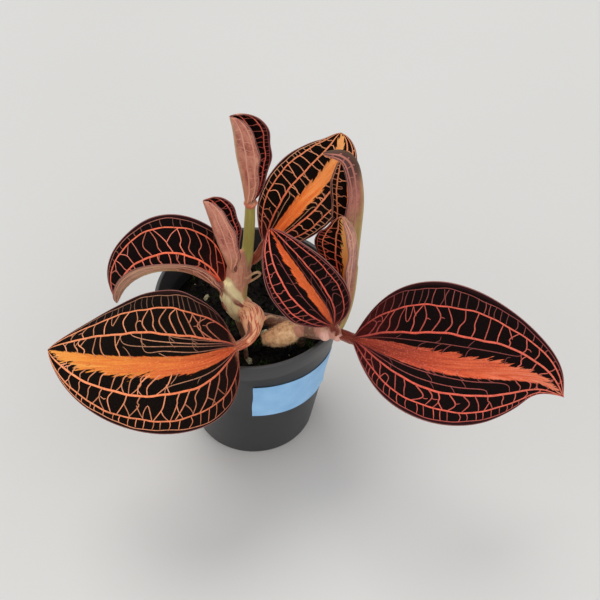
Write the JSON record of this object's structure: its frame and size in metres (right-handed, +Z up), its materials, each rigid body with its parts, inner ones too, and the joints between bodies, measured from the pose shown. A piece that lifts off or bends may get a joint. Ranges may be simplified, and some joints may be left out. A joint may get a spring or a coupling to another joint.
{
  "type": "potted jewel orchid",
  "caption": "Jewel orchid in a small tapered nursery pot: broad pointed dark leaves with copper veins and midrib bands on a creeping stem with an upright shoot.",
  "frame": {"origin": "centre of the pot's base, on the surface that the pot stands on", "axes": "+Z up; +X to the right of the picture's view, towards the large right leaf; the viewer is at -Y"},
  "size_m": [0.1673, 0.0926, 0.1427],
  "materials": {
    "pot": "smooth charcoal plastic, slightly satin",
    "potting_mix": "near-black damp bark and peat",
    "label": "light blue paper tape",
    "stem": "fleshy pinkish brown, fuzzy tan on the stub root",
    "leaf": "velvety blackish leaf with copper red veins"
  },
  "bodies": {
    "root": {"pot": "pot", "potting_mix": "potting_mix", "label": "label", "stem": "stem", "leaf_left": "leaf", "leaf_right": "leaf", "leaf_arched": "leaf", "leaf_upright": "leaf", "leaf_small": "leaf", "leaf_back": "leaf", "leaf_back_right": "leaf", "leaf_inner": "leaf", "leaf_front": "leaf"}
  },
  "joints": []
}
